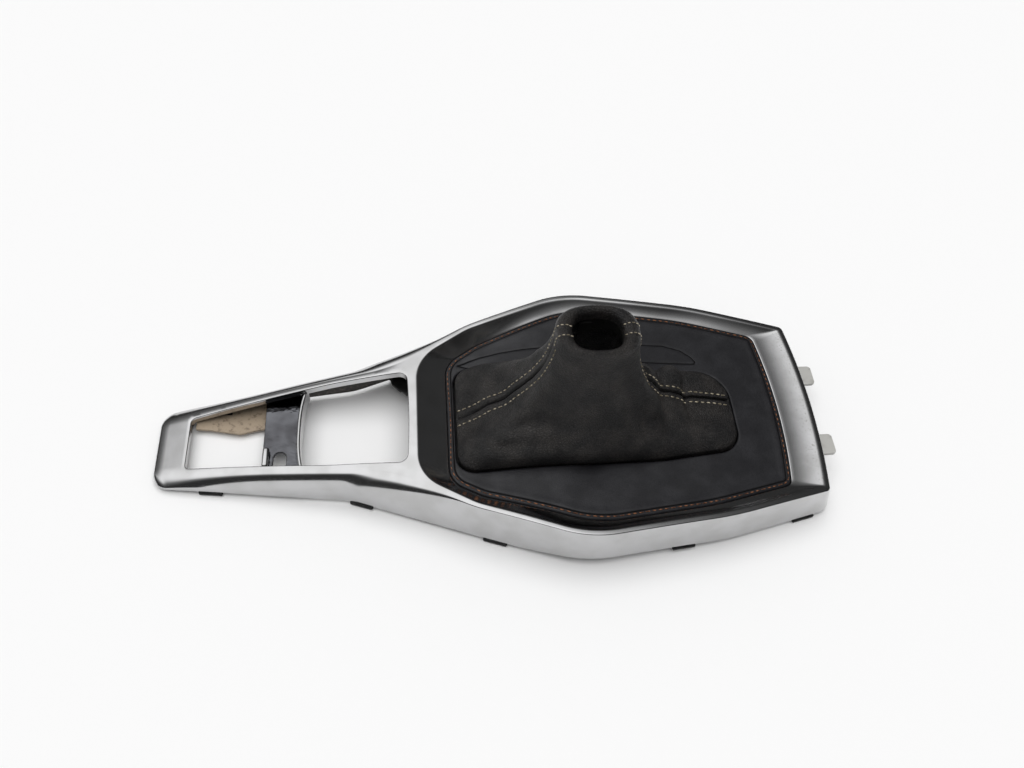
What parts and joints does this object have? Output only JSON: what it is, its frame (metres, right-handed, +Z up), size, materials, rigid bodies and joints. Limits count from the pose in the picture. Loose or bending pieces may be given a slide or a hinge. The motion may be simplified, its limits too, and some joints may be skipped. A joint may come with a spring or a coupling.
{
  "type": "gear shift surround",
  "caption": "Satin chrome console bezel with a long windowed neck, a stitched leather panel and a leather gear lever gaiter rising to an open collar",
  "frame": {"origin": "middle of the footprint, on the plane that the clips' feet rest on", "axes": "+X along the bezel from the narrow neck to the wide end with the tongues, +Y across it to the far side, +Z up through the gaiter's collar"},
  "size_m": [0.4668, 0.198, 0.125],
  "materials": {
    "satin_chrome": "satin chrome plating on moulded plastic",
    "panel_leather": "fine grain, blue-black",
    "gaiter_leather": "soft grain, creased, black",
    "black_moulding": "moulded, matte",
    "black_spring_steel": "black coated spring steel",
    "zinc_plate": "zinc plated"
  },
  "bodies": {
    "root": {"bezel": "satin_chrome", "panel_leather": "panel_leather", "panel_carrier": "black_moulding", "gaiter": "gaiter_leather", "gaiter_collar": "black_moulding", "gaiter_frame": "black_moulding", "near_clip_1": "black_spring_steel", "far_clip_1": "black_spring_steel", "near_clip_2": "black_spring_steel", "far_clip_2": "black_spring_steel", "near_clip_3": "black_spring_steel", "far_clip_3": "black_spring_steel", "near_clip_4": "black_spring_steel", "far_clip_4": "black_spring_steel", "near_clip_5": "black_spring_steel", "far_clip_5": "black_spring_steel", "panel_screw_1": "zinc_plate", "panel_screw_2": "zinc_plate", "panel_screw_3": "zinc_plate", "panel_screw_4": "zinc_plate", "panel_screw_5": "zinc_plate", "panel_screw_6": "zinc_plate", "frame_screw_1": "zinc_plate", "frame_screw_2": "zinc_plate", "frame_screw_3": "zinc_plate", "frame_screw_4": "zinc_plate"}
  },
  "joints": []
}
